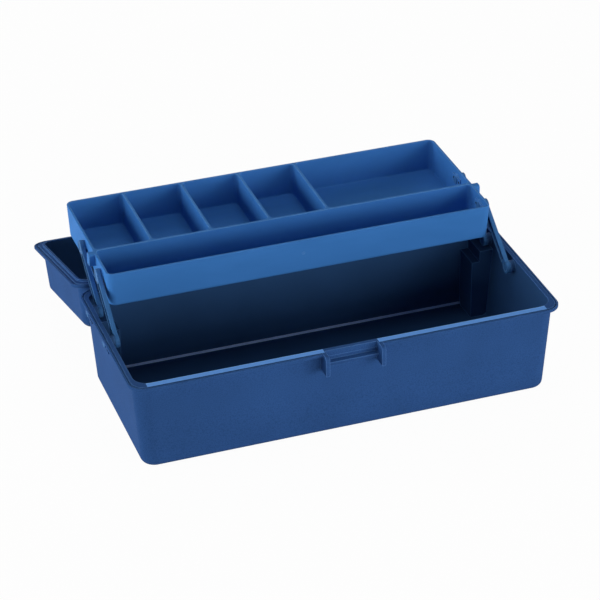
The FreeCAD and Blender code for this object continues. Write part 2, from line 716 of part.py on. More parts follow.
def build_handle():
    """Build the bail handle folded into the lid's recess."""
    body = new_body("handle_bow")
    sketch = sketch_on(body, "handle_outline", "XY_Plane", "handle_level - handle_thickness / 2")
    front = "handle_setback - handle_reach - handle_grip / 2"
    inside = "handle_setback - handle_reach + handle_grip / 2"
    polygon(sketch, (("-handle_length / 2", "handle_setback"), ("-handle_length / 2", front),
                     ("handle_length / 2", front), ("handle_length / 2", "handle_setback"),
                     ("handle_length / 2 - handle_arm", "handle_setback"),
                     ("handle_length / 2 - handle_arm", inside),
                     ("handle_arm - handle_length / 2", inside),
                     ("handle_arm - handle_length / 2", "handle_setback")))
    extrude(body, "Pad", "bow", sketch, "handle_thickness")
    front_level = number(front)
    round_edges(body, "bow_corner_round", "handle_corner",
                lambda edge: upright(edge) and lies_at(edge, "y", front_level))
    inside_level = number(inside)
    round_edges(body, "bow_inner_round", "handle_round",
                lambda edge: upright(edge) and lies_at(edge, "y", inside_level))
    levels = (number("handle_level - handle_thickness / 2"), number("handle_level + handle_thickness / 2"))
    rear_level = number("handle_setback")
    round_edges(body, "bow_edge_round", "handle_edge",
                lambda edge: any(lies_at(edge, "z", level) for level in levels)
                and not lies_at(edge, "y", rear_level))
    pieces = [body]
    line = ("handle_setback", "handle_level")
    for name, side in SIDES:
        ends = span(side, "handle_length / 2 - handle_arm", "handle_length / 2")
        pieces.append(rod(f"handle_end_{name}", ends, line, "handle_thickness / 2"))
        ends = span(side, "handle_length / 2 - handle_arm / 2", "handle_length / 2 + trunnion")
        pieces.append(rod(f"handle_trunnion_{name}", ends, line, "trunnion_radius"))
    handle = name_part(fuse("handle", pieces), "handle")
    handle.Placement = lid_pose()


def build_hinge_pins():
    """Build the two headed steel pins of the rear hinges."""
    for name, side in SIDES:
        shaft = rod(f"hinge_shaft_{name}", hinge_ends(side, "0"), HINGE_LINE, "hinge_pin_radius")
        near = f"{side} * hinge_station + {side} * hinge_half"
        ends = (near, f"{near} + hinge_head") if side > 0 else (f"{near} - hinge_head", near)
        head = rod(f"hinge_head_{name}", ends, HINGE_LINE, "hinge_head_radius")
        name_part(fuse(f"hinge_pin_{name}", [shaft, head]), f"hinge_pin_{name}")


def tray_pose():
    """Carry the tray, whose frame starts at its front pivots, on the raised arms."""
    lean = math.radians(number("arm_open"))
    reach = number("arm_reach")
    return FreeCAD.Placement(FreeCAD.Vector(0, number("front_pivot") + reach * math.cos(lean),
                                            number("pivot_height") + reach * math.sin(lean)),
                             FreeCAD.Rotation())


def build_tray():
    """Build the tray about its front pivots: a long bay in front and five bays behind."""
    body = new_body("tray_tub")
    frustum(body, "Additive", "tray_block", ("tray_bottom", "tray_pivot_drop"),
            centred("tray_bottom_length", "tray_bottom_width"), centred("tray_length", "tray_width"),
            across="tray_centre")
    round_edges(body, "tray_corner_round", "tray_corner", upright)
    bottom = number("tray_bottom")
    round_edges(body, "tray_bottom_round", "tray_edge_round", lambda edge: lies_at(edge, "z", bottom))
    top = number("tray_pivot_drop")
    round_edges(body, "tray_rim_round", "tray_rim_round", lambda edge: lies_at(edge, "z", top))
    left_end = "-tray_length / 2"
    front = "-tray_pivot_setback + tray_wall"
    bays = [("front_bay_cut", f"{left_end} + tray_wall", "tray_length / 2 - tray_wall", front, "front_bay")]
    rear_start = f"{front} + front_bay + divider"
    rear_width = "tray_width - 2 * tray_wall - front_bay - divider"
    for place in range(SMALL_BAYS + 1):
        start = f"{left_end} + tray_wall"
        if place > 0:
            start = f"{left_end} + first_divider + {place - 1} * bay_pitch + divider / 2"
        end = f"{left_end} + first_divider + {place} * bay_pitch - divider / 2"
        if place == SMALL_BAYS:
            end = "tray_length / 2 - tray_wall"
        bays.append((f"rear_bay_cut_{place + 1}", start, end, rear_start, rear_width))
    floor = number("tray_bottom + tray_floor")
    hollows = []
    for label, start, end, near, width in bays:
        bay = new_body(label)
        frustum(bay, "Additive", label + "_block", ("tray_bottom + tray_floor", "tray_pivot_drop"),
                (f"{start} + bay_lean", f"{end} - bay_lean", f"({width}) - 2 * bay_lean"),
                (start, end, width), across=f"{near} + ({width}) / 2")
        round_edges(bay, label + "_corner_round", "bay_corner", upright)
        round_edges(bay, label + "_floor_round", "bay_round", lambda edge: lies_at(edge, "z", floor))
        hollows.append(bay)
    added = [cut("tray_hollowed", body, hollows)]
    removed = []
    for name, side in SIDES:
        ends = span(side, "tray_length / 2 - tray_wall / 2", "tray_length / 2 + lug_reach")
        near = "lug_setback - tray_pivot_setback"
        lug = new_body(f"tray_lug_{name}")
        place_box(lug.newObject("PartDesign::AdditiveBox", f"lug_block_{name}"),
                  (ends[0], near, "tray_pivot_drop - lug_height"),
                  (ends[1], f"{near} + lug_width", "tray_pivot_drop"))
        round_edges(lug, f"lug_top_round_{name}", "lug_round",
                    lambda edge: lies_at(edge, "z", top) and edge.BoundBox.XLength > edge.BoundBox.YLength)
        added.append(lug)
        for place, line in TRAY_PIVOTS:
            label = f"{place}_{name}"
            ends = span(side, "tray_length / 2 - tray_wall / 2 - tray_lean", "tray_boss_outer")
            added.append(rod("tray_outer_boss_" + label, ends, (line, "0"), "boss_radius"))
            ends = span(side, "tray_boss_inner", "tray_length / 2 - tray_wall / 2 - tray_lean / 2")
            added.append(block("tray_inner_boss_" + label,
                               (ends[0], f"{line} - tray_mark_spacing / 2 - 2 * mark_radius",
                                "-pivot_head_radius"),
                               (ends[1], f"{line} + tray_mark_spacing / 2 + 2 * mark_radius",
                                "pivot_head_radius")))
            ends = span(side, f"tray_boss_inner - {OUTSIDE}", f"tray_boss_outer + {OUTSIDE}")
            removed.append(rod("tray_pivot_bore_" + label, ends, (line, "0"),
                               "pivot_radius + seat_clearance"))
            ends = span(side, f"tray_boss_inner - {OUTSIDE}", "tray_boss_inner + mark_depth")
            for end, sign in (("a", "-"), ("b", "+")):
                removed.append(rod(f"tray_mark_{end}_{label}", ends,
                                   (f"{line} {sign} tray_mark_spacing / 2", "0"), "mark_radius"))
    tray = name_part(cut("tray", fuse("tray_joined", added), removed), "tray")
    tray.Placement = tray_pose()


def build_arms():
    """Build the four swing arms, each about its pivot on the base."""
    for name, side in SIDES:
        for place, line in PIVOTS:
            body = new_body(f"arm_{place}_{name}")
            ends = span(side, "arm_inner", "arm_outer")
            bar = body.newObject("PartDesign::AdditiveBox", "bar")
            place_box(bar, (ends[0], "0", "-arm_half_width"), (ends[1], "arm_reach", "arm_half_width"))
            for eye, along in (("base_eye", "0"), ("tray_eye", "arm_reach")):
                disc = body.newObject("PartDesign::AdditiveCylinder", eye)
                place_rod(disc, ends, (along, "0"), "arm_end_radius")
            faces = (number(ends[0]), number(ends[1]))
            round_edges(body, "arm_round", "arm_edge_round",
                        lambda edge: any(lies_at(edge, "x", face) for face in faces))
            beyond_inner = f"arm_inner - {OUTSIDE}"
            beyond_outer = f"arm_outer + {OUTSIDE}"
            for face, channel in (("inner", span(side, beyond_inner, "arm_inner + arm_channel")),
                                  ("outer", span(side, "arm_outer - arm_channel", beyond_outer))):
                trough = body.newObject("PartDesign::SubtractiveBox", f"{face}_channel")
                place_box(trough, (channel[0], "arm_end_radius + arm_rim", "arm_rim - arm_half_width"),
                          (channel[1], "arm_reach - arm_end_radius - arm_rim", "arm_half_width - arm_rim"))
            through = span(side, beyond_inner, beyond_outer)
            for eye, along, sink in (("base", "0", span(side, beyond_inner, "arm_inner + pivot_sink")),
                                     ("tray", "arm_reach",
                                      span(side, "arm_outer - pivot_sink", beyond_outer))):
                bore = body.newObject("PartDesign::SubtractiveCylinder", f"{eye}_bore")
                place_rod(bore, through, (along, "0"), "pivot_radius + running_clearance")
                counterbore = body.newObject("PartDesign::SubtractiveCylinder", f"{eye}_counterbore")
                place_rod(counterbore, sink, (along, "0"), "pivot_foot_radius + foot_clearance")
            name_part(body, f"arm_{place}_{name}")
            pivot = FreeCAD.Vector(0, number(line), number("pivot_height"))
            raised = FreeCAD.Rotation(FreeCAD.Vector(1, 0, 0), number("arm_open"))
            body.Placement = FreeCAD.Placement(pivot, raised)


def pivot_pin(label, side, line, seat, head, foot, foot_end):
    """Build one pin on a line: its head beyond the seat, its shaft and the wider foot in the arm."""
    body = new_body(label)
    for piece, near, far, radius in (("shaft", seat, foot, "pivot_radius"),
                                     ("head", seat, head, "pivot_head_radius"),
                                     ("foot", foot, foot_end, "pivot_foot_radius")):
        low, high = sorted((near, far), key=number)
        disc = body.newObject("PartDesign::AdditiveCylinder", piece)
        place_rod(disc, span(side, low, high), line, radius)
    rim = side * number(head)
    round_edges(body, "head_round", "pivot_head_round", lambda edge: lies_at(edge, "x", rim))
    return name_part(body, label)


def build_pivot_pins():
    """Build the headed pins that hold the arms to the base and to the tray."""
    for name, side in SIDES:
        for place, line in PIVOTS:
            pivot_pin(f"base_pin_{place}_{name}", side, (line, "pivot_height"), "outer_boss_face",
                      "outer_boss_face + pivot_head", "base_pin_foot", "base_pin_foot - pivot_foot")
        for place, line in TRAY_PIVOTS:
            pin = pivot_pin(f"tray_pin_{place}_{name}", side, (line, "0"), "tray_boss_inner",
                            "tray_boss_inner - pivot_head", "tray_pin_foot", "tray_pin_foot + pivot_foot")
            pin.Placement = tray_pose()


def check_and_write():
    """Stop at any failed object, then write each sub-part's file."""
    doc.recompute()
    for item in doc.Objects:
        if "Invalid" in item.State or "Error" in item.State:
            raise RuntimeError(f"{item.Label} is {item.State}")
    for part in parts:
        if part.Shape.isNull() or not part.Shape.isValid() or len(part.Shape.Solids) != 1:
            raise RuntimeError(f"{part.Label} has no single valid solid")
    os.makedirs("parts", exist_ok=True)
    for part in parts:
        part.Shape.exportStep(f"parts/{part.Label}.step")
        print(f"{part.Label}: {part.Shape.Volume / 1000:.2f} cm3")


fill_sheet()
build_base()
build_lid()
build_hinge_pins()
build_latch()
build_handle()
build_tray()
build_arms()
build_pivot_pins()
check_and_write()
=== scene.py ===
"""A blue tackle box standing open: its finishes, its small moulding details and a plain studio.

The frame holds every rigid piece in metres. This script gives those pieces the finishes of
moulded polypropylene and plated steel, adds what the mould leaves on them, and sets them in a
white studio with the camera at the photograph's place. Sizes in the classes are millimetres.
"""
import json
import logging
import math
from dataclasses import dataclass, field
from enum import Enum
from typing import ClassVar

import bpy
from mathutils import Matrix, Vector


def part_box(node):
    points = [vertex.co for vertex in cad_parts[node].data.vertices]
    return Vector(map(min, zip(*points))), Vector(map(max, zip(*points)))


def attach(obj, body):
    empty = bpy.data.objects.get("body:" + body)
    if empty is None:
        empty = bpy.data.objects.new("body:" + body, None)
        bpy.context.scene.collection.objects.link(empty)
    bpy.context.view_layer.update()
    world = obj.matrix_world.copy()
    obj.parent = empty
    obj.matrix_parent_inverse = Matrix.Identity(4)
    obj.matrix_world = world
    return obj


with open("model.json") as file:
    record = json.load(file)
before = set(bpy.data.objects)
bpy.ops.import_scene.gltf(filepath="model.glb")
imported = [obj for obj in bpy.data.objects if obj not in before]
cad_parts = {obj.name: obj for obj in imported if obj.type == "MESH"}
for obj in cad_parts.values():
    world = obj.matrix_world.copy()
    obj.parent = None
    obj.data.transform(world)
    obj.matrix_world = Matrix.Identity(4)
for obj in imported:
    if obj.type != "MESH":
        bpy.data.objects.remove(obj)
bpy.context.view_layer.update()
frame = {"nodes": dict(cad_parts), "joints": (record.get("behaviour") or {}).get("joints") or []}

log = logging.getLogger("tackle_box")

MILLIMETRE = 0.001
SIDES = ("left", "right")
PLACES = ("front", "rear")
# Where the painted edge highlight begins and where it is full: how far the rounded normal has turned from the
# face's own.
EDGE_HIGHLIGHT_START = 0.99
EDGE_HIGHLIGHT_FULL = 0.85
WHITE = (1.0, 1.0, 1.0, 1.0)

Test = tuple[str, bpy.types.NodeSocket, float]


class Slot(Enum):
    """The record's material slots."""

    SHELL = "shell_blue"
    TRAY = "tray_blue"
    ARM = "arm_blue"
    FITTING = "fitting_blue"
    PIN = "pin_steel"


def millimetres(*amounts: float) -> Vector:
    """Give a point or size in metres from millimetres."""
    return Vector(amounts) * MILLIMETRE


def linear(colour: str) -> tuple[float, float, float, float]:
    """Turn an sRGB hex colour into a linear one.

    Args:
        colour: Six hex digits after a hash.

    Returns:
        Linear red, green and blue with full alpha.
    """
    shares = [int(colour[place:place + 2], 16) / 255 for place in (1, 3, 5)]
    flat = [share / 12.92 if share <= 0.04045 else ((share + 0.055) / 1.055) ** 2.4 for share in shares]
    return (*flat, 1.0)


def add_node(tree: bpy.types.NodeTree, kind: str, inputs: dict | None = None,
             **settings: object) -> bpy.types.Node:
    """Add a node to a tree with its settings, values and links.

    Args:
        tree: The node tree.
        kind: The node's type without its leading ShaderNode.
        inputs: Values or output sockets by the input's name or number.
        settings: The node's own properties.

    Returns:
        The new node.
    """
    node = tree.nodes.new("ShaderNode" + kind)
    for name, value in settings.items():
        setattr(node, name, value)
    for name, value in (inputs or {}).items():
        if isinstance(value, bpy.types.NodeSocket):
            tree.links.new(value, node.inputs[name])
        else:
            node.inputs[name].default_value = value
    return node


def calculate(tree: bpy.types.NodeTree, operation: str, *values: object) -> bpy.types.NodeSocket:
    """Add a Math node and give its result."""
    return add_node(tree, "Math", dict(enumerate(values)), operation=operation).outputs[0]


def blend_colours(tree: bpy.types.NodeTree, share: object, first: object,
                  second: object) -> bpy.types.NodeSocket:
    """Blend two colours by a share and give the result."""
    inputs = {0: share, 6: first, 7: second}
    return add_node(tree, "Mix", inputs, data_type="RGBA").outputs[2]


def place_axes(tree: bpy.types.NodeTree) -> bpy.types.bpy_prop_collection:
    """Give X, Y and Z of a point, in metres, as three sockets."""
    return add_node(tree, "SeparateXYZ", {0: add_node(tree, "TexCoord").outputs["Object"]}).outputs


def facing_axes(tree: bpy.types.NodeTree) -> bpy.types.bpy_prop_collection:
    """Give X, Y and Z of the way a face points, as three sockets."""
    return add_node(tree, "SeparateXYZ", {0: add_node(tree, "NewGeometry").outputs["Normal"]}).outputs


def meet_all(tree: bpy.types.NodeTree, tests: tuple[Test, ...]) -> bpy.types.NodeSocket:
    """Give a share that is 1 where every test holds and 0 elsewhere.

    Args:
        tree: The node tree.
        tests: For each test, its comparison, the value and the limit.

    Returns:
        The share.
    """
    share = 1.0
    for operation, value, limit in tests:
        share = calculate(tree, "MULTIPLY", share, calculate(tree, operation, value, limit))
    return share


def rounded_normal(tree: bpy.types.NodeTree, radius: float, samples: int) -> bpy.types.NodeSocket:
    """Give the normal of edges rounded to a radius in millimetres."""
    return add_node(tree, "Bevel", {"Radius": radius * MILLIMETRE}, samples=samples).outputs[0]


def edge_highlight_share(tree: bpy.types.NodeTree, reach: float) -> bpy.types.NodeSocket:
    """Give a share that grows towards sharp edges, where a highlight is painted in a paler colour.

    Args:
        tree: The node tree.
        reach: How far from an edge the painted highlight reaches, in millimetres.

    Returns:
        0 on flat faces and up to 1 at an edge.
    """
    flat = add_node(tree, "NewGeometry").outputs["Normal"]
    inputs = {0: rounded_normal(tree, reach, samples=8), 1: flat}
    alike = add_node(tree, "VectorMath", inputs, operation="DOT_PRODUCT").outputs["Value"]
    return add_node(tree, "MapRange", {0: alike, 1: EDGE_HIGHLIGHT_START, 2: EDGE_HIGHLIGHT_FULL}).outputs[0]


def start_material(name: str) -> tuple[bpy.types.Material, bpy.types.NodeTree, bpy.types.Node]:
    """Start a material with one Principled shader.

    Args:
        name: The material's name.

    Returns:
        The material, its node tree and the shader.
    """
    material = bpy.data.materials.new(name)
    material.use_nodes = True
    tree = material.node_tree
    tree.nodes.clear()
    shader = add_node(tree, "BsdfPrincipled")
    add_node(tree, "OutputMaterial", {"Surface": shader.outputs[0]})
    return material, tree, shader


def set_plastic(tree: bpy.types.NodeTree, shader: bpy.types.Node, base: bpy.types.NodeSocket,
                normal: bpy.types.NodeSocket, rough: bpy.types.NodeSocket, ior: float,
                specular: float) -> None:
    """Give a plastic's shader its colour, normal and gloss.

    Args:
        tree: The node tree.
        shader: The Principled shader.
        base: The colour.
        normal: The normal, with its rounded edges and grain.
        rough: The roughness.
        ior: The index of refraction, the same all over.
        specular: The specular level, the same all over.
    """
    tree.links.new(base, shader.inputs["Base Color"])
    tree.links.new(normal, shader.inputs["Normal"])
    tree.links.new(rough, shader.inputs["Roughness"])
    shader.inputs["IOR"].default_value = ior
    shader.inputs["Specular IOR Level"].default_value = specular


@dataclass(frozen=True)
class Inside:
    """The space inside a tub, polished and drawn darker as painted shade, in the tub's closed place.

    Attributes:
        half_length: Half the length between the middles of the end walls at the mouth.
        half_width: The same across the box.
        lean_length: How far an end wall leans in over the depth.
        lean_width: How far a long wall leans in over the depth.
        floor: Level inside the floor's thickness.
        mouth: Level of the mouth, just under the rim's top faces.
        turn: How far the tub stands open, in degrees about X.
        hinge: The point that it turned about, in millimetres.
        corner: Radius of its upright corners, at the middle of the wall.
    """

    half_length: float
    half_width: float
    lean_length: float
    lean_width: float
    floor: float
    mouth: float
    turn: float = 0.0
    hinge: tuple[float, float, float] = (0.0, 0.0, 0.0)
    corner: float = 11.0

    def place(self, tree: bpy.types.NodeTree) -> bpy.types.NodeSocket:
        """Give a point's place, in metres, with the tub shut."""
        coordinates = add_node(tree, "TexCoord").outputs["Object"]
        hinge = millimetres(*self.hinge)
        back = Matrix.Rotation(math.radians(self.turn), 3, "X")
        shift = hinge - back @ hinge
        inputs = {"Vector": coordinates, "Location": shift, "Rotation": (math.radians(self.turn), 0.0, 0.0)}
        return add_node(tree, "Mapping", inputs, vector_type="POINT").outputs[0]

    def mask(self, tree: bpy.types.NodeTree) -> bpy.types.NodeSocket:
        """Give a share that is 1 inside the tub and 0 outside."""
        split = add_node(tree, "SeparateXYZ", {0: self.place(tree)}).outputs
        level = split[2]
        low, high = sorted((self.floor, self.mouth))
        depth = abs(self.mouth - self.floor) * MILLIMETRE
        below = calculate(tree, "ABSOLUTE", calculate(tree, "SUBTRACT", level, self.mouth * MILLIMETRE))
        share = calculate(tree, "DIVIDE", below, depth)
        inside = meet_all(tree, (("GREATER_THAN", level, low * MILLIMETRE),
                                 ("LESS_THAN", level, high * MILLIMETRE)))
        past = 0.0
        walls = ((0, self.half_length, self.lean_length), (1, self.half_width, self.lean_width))
        for axis, half, lean in walls:
            reach = calculate(tree, "MULTIPLY_ADD", share, lean * MILLIMETRE,
                              calculate(tree, "ABSOLUTE", split[axis]))
            over = calculate(tree, "SUBTRACT", reach, (half - self.corner) * MILLIMETRE)
            over = calculate(tree, "MAXIMUM", over, 0.0)
            past = calculate(tree, "MULTIPLY_ADD", over, over, past)
        round_corner = calculate(tree, "LESS_THAN", calculate(tree, "SQRT", past), self.corner * MILLIMETRE)
        return calculate(tree, "MULTIPLY", inside, round_corner)


@dataclass(frozen=True)
class LandHighlight:
    """The shut-off land along the front of the rim, where a highlight is painted in a paler colour.

    Attributes:
        half_length: Where it ends at the round corners.
        half_gap: Half the catch opening that interrupts it.
        near: Its inner edge across the box.
        far: Its outer edge across the box.
        level: Level just under it.
        line: Width of its inner edge, where the painted highlight is paler still.
    """

    half_length: float = 185.0
    half_gap: float = 25.2
    near: float = -80.5
    far: float = -86.4
    level: float = 86.5
    line: float = 0.9

    def masks(self, tree: bpy.types.NodeTree) -> tuple[bpy.types.NodeSocket, bpy.types.NodeSocket]:
        """Give two shares: 1 on the land, and 1 on its inner edge line."""
        split = place_axes(tree)
        along = calculate(tree, "ABSOLUTE", split[0])
        land = meet_all(tree, (("GREATER_THAN", split[2], self.level * MILLIMETRE),
                               ("LESS_THAN", split[1], self.near * MILLIMETRE),
                               ("GREATER_THAN", split[1], self.far * MILLIMETRE),
                               ("LESS_THAN", along, self.half_length * MILLIMETRE),
                               ("GREATER_THAN", along, self.half_gap * MILLIMETRE)))
        edge = calculate(tree, "GREATER_THAN", split[1], (self.near - self.line) * MILLIMETRE)
        return land, calculate(tree, "MULTIPLY", land, edge)


@dataclass(frozen=True)
class PitShade:
    """Small round marks beside the pivots, painted near black as the shade in the gaps by the pin heads.

    Attributes:
        near: Distance from the middle plane at which the pits begin.
        far: Distance at which they end.
        level: Height of the pits.
        places: Their places along Y.
        radius: A little more than a pit's radius.
        face_margin: How far the mask stays clear of the face, a class value.
        floor_margin: How far it reaches past a pit's floor, a class value.
    """

    near: float
    far: float
    level: float
    places: tuple[float, ...]
    radius: float = 1.5

    face_margin: ClassVar[float] = 0.1
    floor_margin: ClassVar[float] = 0.2

    def mask(self, tree: bpy.types.NodeTree) -> bpy.types.NodeSocket:
        """Give 1 inside the pits and 0 elsewhere."""
        split = place_axes(tree)
        along = calculate(tree, "ABSOLUTE", split[0])
        depth = meet_all(tree, (("GREATER_THAN", along, self.near * MILLIMETRE),
                                ("LESS_THAN", along, self.far * MILLIMETRE)))
        height = calculate(tree, "POWER", calculate(tree, "SUBTRACT", split[2], self.level * MILLIMETRE), 2.0)
        pits = 0.0
        for place in self.places:
            across = calculate(tree, "POWER", calculate(tree, "SUBTRACT", split[1], place * MILLIMETRE), 2.0)
            distance = calculate(tree, "SQRT", calculate(tree, "ADD", across, height))
            pit = calculate(tree, "LESS_THAN", distance, self.radius * MILLIMETRE)
            pits = calculate(tree, "MAXIMUM", pits, pit)
        return calculate(tree, "MULTIPLY", depth, pits)


@dataclass(frozen=True)
class FilletHighlight:
    """A painted highlight: a pale line along the fillet between the tub's floor and its back wall.

    Attributes:
        low: Level at which its pale line begins.
        high: Level at which the line ends.
        start: Place along Y from which the fillet is the rear one.
        forward: The normal's Y under which a face looks to the front.
        upward: The normal's Z over which it looks up.
    """

    low: float = 3.3
    high: float = 5.2
    start: float = 60.0
    forward: float = -0.35
    upward: float = 0.2

    def mask(self, tree: bpy.types.NodeTree) -> bpy.types.NodeSocket:
        """Give 1 on the line and 0 elsewhere."""
        split, facing = place_axes(tree), facing_axes(tree)
        return meet_all(tree, (("GREATER_THAN", split[2], self.low * MILLIMETRE),
                               ("LESS_THAN", split[2], self.high * MILLIMETRE),
                               ("GREATER_THAN", split[1], self.start * MILLIMETRE),
                               ("LESS_THAN", facing[1], self.forward),
                               ("GREATER_THAN", facing[2], self.upward)))


@dataclass(frozen=True)
class SparkErodedPolypropylene:
    """Injection-moulded polypropylene copolymer from a spark-eroded mould cavity.

    The eroded cavity leaves an even grain that scatters the gloss, so the outside looks matt and
    slightly speckled. The core half of the mould is polished, so the inside is smooth and shinier;
    it is also drawn deeper in colour, partly for the polished face and partly as painted shade
    inside the tub. Real grain is about 0.15 mm and is drawn coarser so that it shows. Edges and
    the rim's land carry painted highlights in paler colours.
    """

    name: str = "spark_eroded_polypropylene"
    colour: str = "#2F548B"
    speck: str = "#214275"
    # Painted shade, partly also the polished face: the inside drawn deeper in colour than the outside.
    polished_and_shaded_colour: str = "#2E507C"
    # Painted highlight on the rim's front land and, paler still, on its inner edge.
    land_highlight_colour: str = "#6BA6F2"
    land_line_highlight_colour: str = "#84BBFF"
    # Painted highlight: edges drawn paler where light would catch their rounding.
    edge_highlight_colour: str = "#5D8CCB"
    # Painted highlight along the rear floor fillet.
    fillet_highlight_colour: str = "#B4D2FF"
    # Painted shade: the gaps beside the pivot pins drawn near black.
    pit_shade_colour: str = "#060D1A"
    roughness: float = 0.72
    inside_roughness: float = 0.45
    specular: float = 0.05
    ior: float = 1.49
    grain: float = 0.9
    grain_depth: float = 0.07
    edge_round: float = 0.45
    edge_reach: float = 1.0
    edge_highlight: float = 0.8
    speckle: float = 0.85
    flow: float = 55.0

    def make(self, inside: Inside, land: LandHighlight | None = None, fillet: FilletHighlight | None = None,
             pit_shade: PitShade | None = None) -> bpy.types.Material:
        """Make the finish for one shell.

        Args:
            inside: The shell's polished inside, which is also drawn darker as painted shade.
            land: The land on its rim, which gets a painted highlight, if it has one.
            fillet: The fillet along its floor, which gets a painted highlight line, if it shows one.
            pit_shade: The marks beside its pivots, painted dark as shade, if it has any.

        Returns:
            The material.
        """
        material, tree, shader = start_material(self.name if land else self.name + "_lid")
        place = inside.place(tree)
        within = inside.mask(tree)
        grain = add_node(tree, "TexNoise", {"Vector": place, "Scale": 1 / (self.grain * MILLIMETRE),
                                            "Detail": 3.0, "Roughness": 0.6}).outputs["Fac"]
        flow = add_node(tree, "TexNoise", {"Vector": place, "Scale": 1 / (self.flow * MILLIMETRE),
                                           "Detail": 2.0}).outputs["Fac"]
        outside = calculate(tree, "SUBTRACT", 1.0, within)
        specks = calculate(tree, "MULTIPLY", outside,
                           add_node(tree, "MapRange", {0: grain, 1: 0.45, 2: 0.7}).outputs[0])
        # The inside is darker: partly the polished face, partly painted shade inside the tub.
        base = blend_colours(tree, within, linear(self.colour), linear(self.polished_and_shaded_colour))
        speckled = calculate(tree, "MULTIPLY", specks, self.speckle)
        base = blend_colours(tree, speckled, base, linear(self.speck))
        streak = add_node(tree, "MapRange", {0: flow, 1: 0.3, 2: 0.7, 3: 0.93, 4: 1.07}).outputs[0]
        base = add_node(tree, "HueSaturation", {"Color": base, "Value": streak}).outputs[0]
        edges = rounded_normal(tree, self.edge_round, samples=4)
        # Painted highlight along the edges.
        edge_highlight = calculate(tree, "MULTIPLY", edge_highlight_share(tree, self.edge_reach), self.edge_highlight)
        base = blend_colours(tree, edge_highlight, base, linear(self.edge_highlight_colour))
        # Painted highlight on the rim's front land and its inner edge.
        if land:
            band, line = land.masks(tree)
            base = blend_colours(tree, band, base, linear(self.land_highlight_colour))
            base = blend_colours(tree, line, base, linear(self.land_line_highlight_colour))
        # Painted highlight line along the rear floor fillet.
        if fillet:
            base = blend_colours(tree, fillet.mask(tree), base, linear(self.fillet_highlight_colour))
        # Painted shade in the gaps beside the pivot pins.
        if pit_shade:
            base = blend_colours(tree, pit_shade.mask(tree), base, linear(self.pit_shade_colour))
        bump = add_node(tree, "Bump", {"Strength": calculate(tree, "MULTIPLY", outside, 0.5),
                                       "Distance": self.grain_depth * MILLIMETRE, "Height": grain,
                                       "Normal": edges})
        polish = self.inside_roughness - self.roughness
        rough = calculate(tree, "MULTIPLY_ADD", within, polish, self.roughness)
        set_plastic(tree, shader, base, bump.outputs[0], rough, self.ior, self.specular)
        return material


@dataclass(frozen=True)
class ChannelShade:
    """The floors of the arms' two channels, painted darker as the shade that falls in them.

    Attributes:
        near: Distance from the middle plane just short of the thin web.
        far: Distance just past the web.
        square: The normal's X over which a face is the web's own.
        colour: Their colour, a painted shade.
    """

    near: float = 186.0
    far: float = 187.4
    square: float = 0.9
    colour: str = "#1C3A6B"

    def mask(self, tree: bpy.types.NodeTree) -> bpy.types.NodeSocket:
        """Give 1 on the channels' floors and 0 elsewhere."""
        along = calculate(tree, "ABSOLUTE", place_axes(tree)[0])
        turned = calculate(tree, "ABSOLUTE", facing_axes(tree)[0])
        return meet_all(tree, (("GREATER_THAN", along, self.near * MILLIMETRE),
                               ("LESS_THAN", along, self.far * MILLIMETRE),
                               ("GREATER_THAN", turned, self.square)))


@dataclass(frozen=True)
class SatinPolypropylene:
    """Injection-moulded polypropylene from a vapour-blasted mould, for the tray, arms and fittings.

    The blasted mould gives a smooth satin face with a soft broad gloss and faint paler flow
    streaks that run out from the gate. Blast pits are about 0.05 mm and show only as the satin.
    """

    name: str
    colour: str
    streak_colour: str
    roughness: float = 0.6
    specular: float = 0.05
    ior: float = 1.49
    pits: float = 0.7
    pit_depth: float = 0.012
    flow: float = 40.0
    edge_round: float = 0.4
    edge_reach: float = 0.9
    # Painted highlight: edges drawn paler where light would catch their rounding.
    edge_highlight_colour: str = "#78AEE2"
    edge_highlight: float = 0.7
    # Painted shade: the gaps beside the pivot pins drawn near black.
    pit_shade_colour: str = "#08152C"

    def make(self, pit_shade: PitShade | None = None, channel: ChannelShade | None = None) -> bpy.types.Material:
        """Make the finish.

        Args:
            pit_shade: The marks beside the piece's pins, painted dark as shade, if it has any.
            channel: The arms' channel floors, painted darker as shade, for the arms.

        Returns:
            The material.
        """
        material, tree, shader = start_material(self.name)
        place = add_node(tree, "TexCoord").outputs["Object"]
        stretched = add_node(tree, "Mapping", {"Vector": place, "Scale": (0.35, 1.0, 1.0)}).outputs[0]
        flow = add_node(tree, "TexNoise", {"Vector": stretched, "Scale": 1 / (self.flow * MILLIMETRE),
                                           "Detail": 4.0, "Distortion": 0.6}).outputs["Fac"]
        pits = add_node(tree, "TexNoise", {"Vector": place, "Scale": 1 / (self.pits * MILLIMETRE),
                                           "Detail": 2.0}).outputs["Fac"]
        share = add_node(tree, "MapRange", {0: flow, 1: 0.35, 2: 0.7}).outputs[0]
        base = blend_colours(tree, share, linear(self.colour), linear(self.streak_colour))
        edges = rounded_normal(tree, self.edge_round, samples=4)
        # Painted highlight along the edges.
        edge_highlight = calculate(tree, "MULTIPLY", edge_highlight_share(tree, self.edge_reach), self.edge_highlight)
        base = blend_colours(tree, edge_highlight, base, linear(self.edge_highlight_colour))
        # Painted shade in the gaps beside the pins.
        if pit_shade:
            base = blend_colours(tree, pit_shade.mask(tree), base, linear(self.pit_shade_colour))
        # Painted shade on the arms' channel floors.
        if channel:
            base = blend_colours(tree, channel.mask(tree), base, linear(channel.colour))
        bump = add_node(tree, "Bump", {"Strength": 0.3, "Distance": self.pit_depth * MILLIMETRE,
                                       "Height": pits, "Normal": edges})
        rough = add_node(tree, "MapRange", {0: pits, 1: 0.3, 2: 0.7, 3: self.roughness - 0.03,
                                            4: self.roughness + 0.03}).outputs[0]
        set_plastic(tree, shader, base, bump.outputs[0], rough, self.ior, self.specular)
        return material


